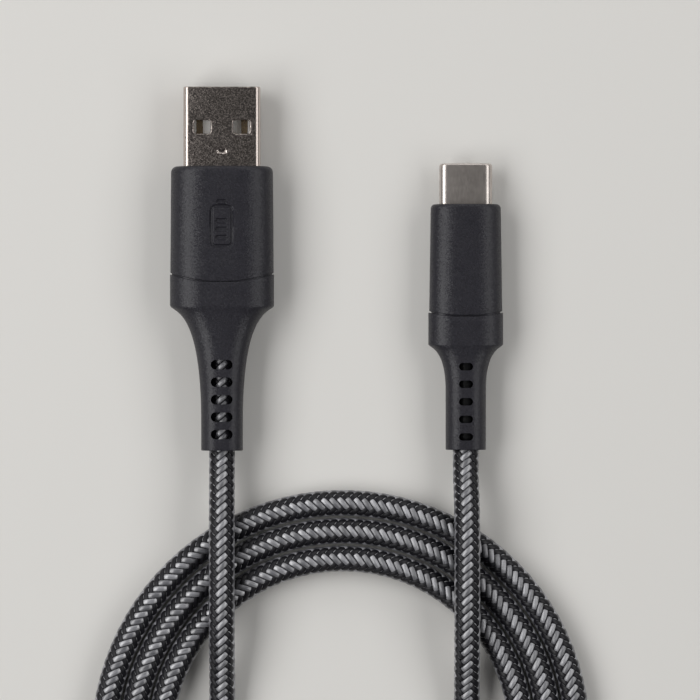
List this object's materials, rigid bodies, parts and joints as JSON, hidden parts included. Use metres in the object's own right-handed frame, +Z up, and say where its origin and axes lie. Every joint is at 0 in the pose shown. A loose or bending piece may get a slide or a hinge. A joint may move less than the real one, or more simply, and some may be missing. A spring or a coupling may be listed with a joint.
{
  "type": "charging cable",
  "caption": "Braided charging cable that lies in a flat three-turn coil, with a wide plug and a slim plug, each with a moulded cover and a slotted strain relief.",
  "frame": {"origin": "under the middle of the box around the two plugs, on the surface that the cable lies on", "axes": "+Y towards the tips of both plugs, +Z up, +X from the wide plug to the slim plug"},
  "size_m": [0.0781, 0.1573, 0.0081],
  "materials": {
    "charger_shell_nickel": "nickel-plated steel sheet with a coarse grain",
    "phone_shell_nickel": "nickel-plated deep-drawn steel, satin",
    "insulator_white": "moulded insulator, off-white",
    "insulator_black": "moulded insulator, black",
    "gold_plated_contact": "gold-plated copper alloy",
    "natural_polyethylene": "natural polyethylene first moulding",
    "charcoal_cover": "matt charcoal with a fine spark-eroded grain",
    "charcoal_boot": "soft matt charcoal elastomer with the same grain",
    "ferrule_brass": "plain brass tube",
    "cable_jacket": "smooth black jacket",
    "spring_steel": "stamped spring steel",
    "board_green": "green solder mask",
    "resistor_black": "black chip resistor",
    "can_steel": "tin-plated steel",
    "wire_red": "red insulation",
    "wire_white": "white insulation",
    "wire_green": "green insulation",
    "wire_black": "black insulation",
    "braided_nylon": "braided nylon sleeve, dark grey with pale grey yarns"
  },
  "bodies": {
    "root": {"charger_plug_shell": "charger_shell_nickel", "charger_plug_contact_block": "insulator_white", "charger_plug_contacts": "gold_plated_contact", "charger_plug_power_wire": "wire_red", "charger_plug_data_minus_wire": "wire_white", "charger_plug_data_plus_wire": "wire_green", "charger_plug_ground_wire": "wire_black", "charger_plug_inner_mold": "natural_polyethylene", "charger_plug_front_cover": "charcoal_cover", "charger_plug_rear_boot": "charcoal_boot", "charger_plug_crimp_ferrule": "ferrule_brass", "charger_plug_cable_end": "cable_jacket", "phone_plug_shell": "phone_shell_nickel", "phone_plug_contact_block": "insulator_black", "phone_plug_upper_contacts": "gold_plated_contact", "phone_plug_lower_contacts": "gold_plated_contact", "phone_plug_latch": "spring_steel", "phone_plug_ground_springs": "spring_steel", "phone_plug_circuit_board": "board_green", "phone_plug_resistor": "resistor_black", "phone_plug_shield_can": "can_steel", "phone_plug_power_wire": "wire_red", "phone_plug_data_minus_wire": "wire_white", "phone_plug_data_plus_wire": "wire_green", "phone_plug_ground_wire": "wire_black", "phone_plug_inner_mold": "natural_polyethylene", "phone_plug_front_cover": "charcoal_cover", "phone_plug_rear_boot": "charcoal_boot", "phone_plug_crimp_ferrule": "ferrule_brass", "phone_plug_cable_end": "cable_jacket", "cable_run_to_charger_plug": "braided_nylon", "cable_coil": "braided_nylon", "cable_run_to_phone_plug": "braided_nylon"}
  },
  "joints": []
}
